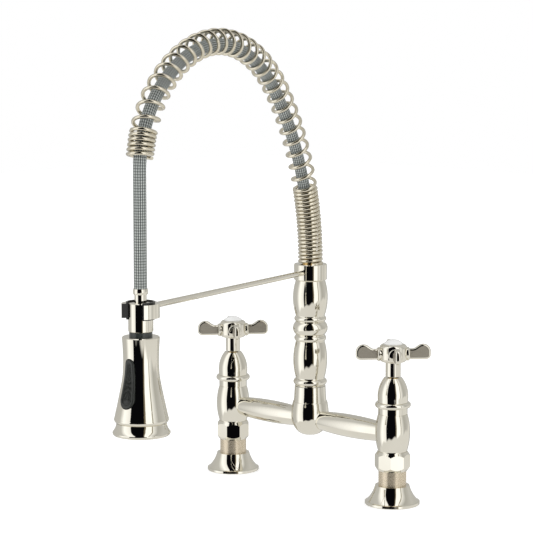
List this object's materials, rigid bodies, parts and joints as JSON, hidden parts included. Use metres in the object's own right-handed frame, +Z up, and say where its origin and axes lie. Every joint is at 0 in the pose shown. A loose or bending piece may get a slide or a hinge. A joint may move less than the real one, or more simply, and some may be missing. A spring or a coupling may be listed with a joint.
{
  "type": "pre rinse faucet",
  "caption": "Deck bridge faucet with cross handles and a turned column carrying a spring-guided arched spout with a pull-down spray head.",
  "frame": {"origin": "midway between the two valve axes, at the deck surface; the spout turns about Z here", "axes": "+X from the left valve to the right valve, -Y towards the user, +Z up"},
  "size_m": [0.2592, 0.3217, 0.4314],
  "materials": {
    "plated_metal": "polished nickel plate",
    "spring_steel": "polished nickel plated wire",
    "brass": "turned",
    "ceramic_disc": "lapped",
    "porcelain": "glazed",
    "steel": "bright",
    "seal_rubber": "matte",
    "hose_braid": "woven braid over rubber",
    "black_plastic": "satin",
    "white_plastic": "moulded",
    "nozzle_rubber": "soft"
  },
  "bodies": {
    "base": {"flange_gaskets": "seal_rubber", "union_washers": "seal_rubber", "bridge_hub": "plated_metal", "swivel_bush": "white_plastic", "keeper_screw": "steel", "bridge_o_rings": "seal_rubber", "left_flange": "plated_metal", "right_flange": "plated_metal", "left_shank": "plated_metal", "right_shank": "plated_metal", "left_union_nut": "plated_metal", "right_union_nut": "plated_metal", "left_valve_body": "plated_metal", "right_valve_body": "plated_metal", "left_cartridge": "brass", "right_cartridge": "brass", "left_seat_disc": "ceramic_disc", "right_seat_disc": "ceramic_disc", "left_bonnet": "plated_metal", "right_bonnet": "plated_metal", "left_bridge_tube": "plated_metal", "right_bridge_tube": "plated_metal"},
    "left_handle": {"left_turning_disc": "ceramic_disc", "left_stem": "brass", "left_cross_handle": "plated_metal", "left_handle_screw": "steel", "left_button": "porcelain"},
    "right_handle": {"right_turning_disc": "ceramic_disc", "right_stem": "brass", "right_cross_handle": "plated_metal", "right_handle_screw": "steel", "right_button": "porcelain"},
    "spout": {"spout_post": "plated_metal", "spout_o_rings": "seal_rubber", "arm_collar": "plated_metal", "collar_screw": "steel", "support_arm": "plated_metal", "clip_shell": "plated_metal", "clip_liner": "black_plastic", "spring_seat": "brass", "guide_spring": "spring_steel", "hose_base": "brass", "hose_run": "hose_braid"},
    "wand": {"hose_drop": "hose_braid", "hose_ferrule": "plated_metal", "wand_neck": "plated_metal", "wand_o_ring": "seal_rubber", "snap_ring": "steel"},
    "spray_head": {"head_ring": "black_plastic", "spray_body": "plated_metal", "water_core": "white_plastic", "check_valve": "white_plastic", "base_ring": "plated_metal", "face_plate": "black_plastic", "spray_nozzles": "nozzle_rubber", "aerator": "white_plastic", "rocker_pin": "steel"},
    "rocker": {"rocker": "black_plastic"},
    "plunger": {"diverter_plunger": "white_plastic"}
  },
  "joints": [
    {"name": "spout_swivel", "type": "hinge", "parent": "base", "child": "spout", "pos_m": [0, 0, 0.09], "axis": [0, 0, 1], "continuous": true},
    {"name": "left_handle_turn", "type": "hinge", "parent": "base", "child": "left_handle", "pos_m": [-0.1016, 0, 0.12], "axis": [0, 0, 1], "range_deg": [0, 90]},
    {"name": "right_handle_turn", "type": "hinge", "parent": "base", "child": "right_handle", "pos_m": [0.1016, 0, 0.12], "axis": [0, 0, 1], "range_deg": [-90, 0]},
    {"name": "wand_release", "type": "slide", "parent": "spout", "child": "wand", "axis": [0, 0, -1], "range_m": [0, 0.08], "deforming": ["hose_drop"]},
    {"name": "head_spin", "type": "hinge", "parent": "wand", "child": "spray_head", "pos_m": [0.05718, -0.26899, 0.178], "axis": [0, 0, 1], "continuous": true},
    {"name": "rocker_tilt", "type": "hinge", "parent": "spray_head", "child": "rocker", "pos_m": [0.05844, -0.27931, 0.1432], "axis": [0.9925, 0.1219, 0], "range_deg": [0, 2.5]},
    {"name": "plunger_slide", "type": "slide", "parent": "spray_head", "child": "plunger", "axis": [-0.1219, 0.9925, 0], "range_m": [-0.0001, 0.0008]}
  ],
  "couplings": [
    {"joint": "plunger_slide", "follows": "rocker_tilt", "m_per_rad": 0.014}
  ]
}
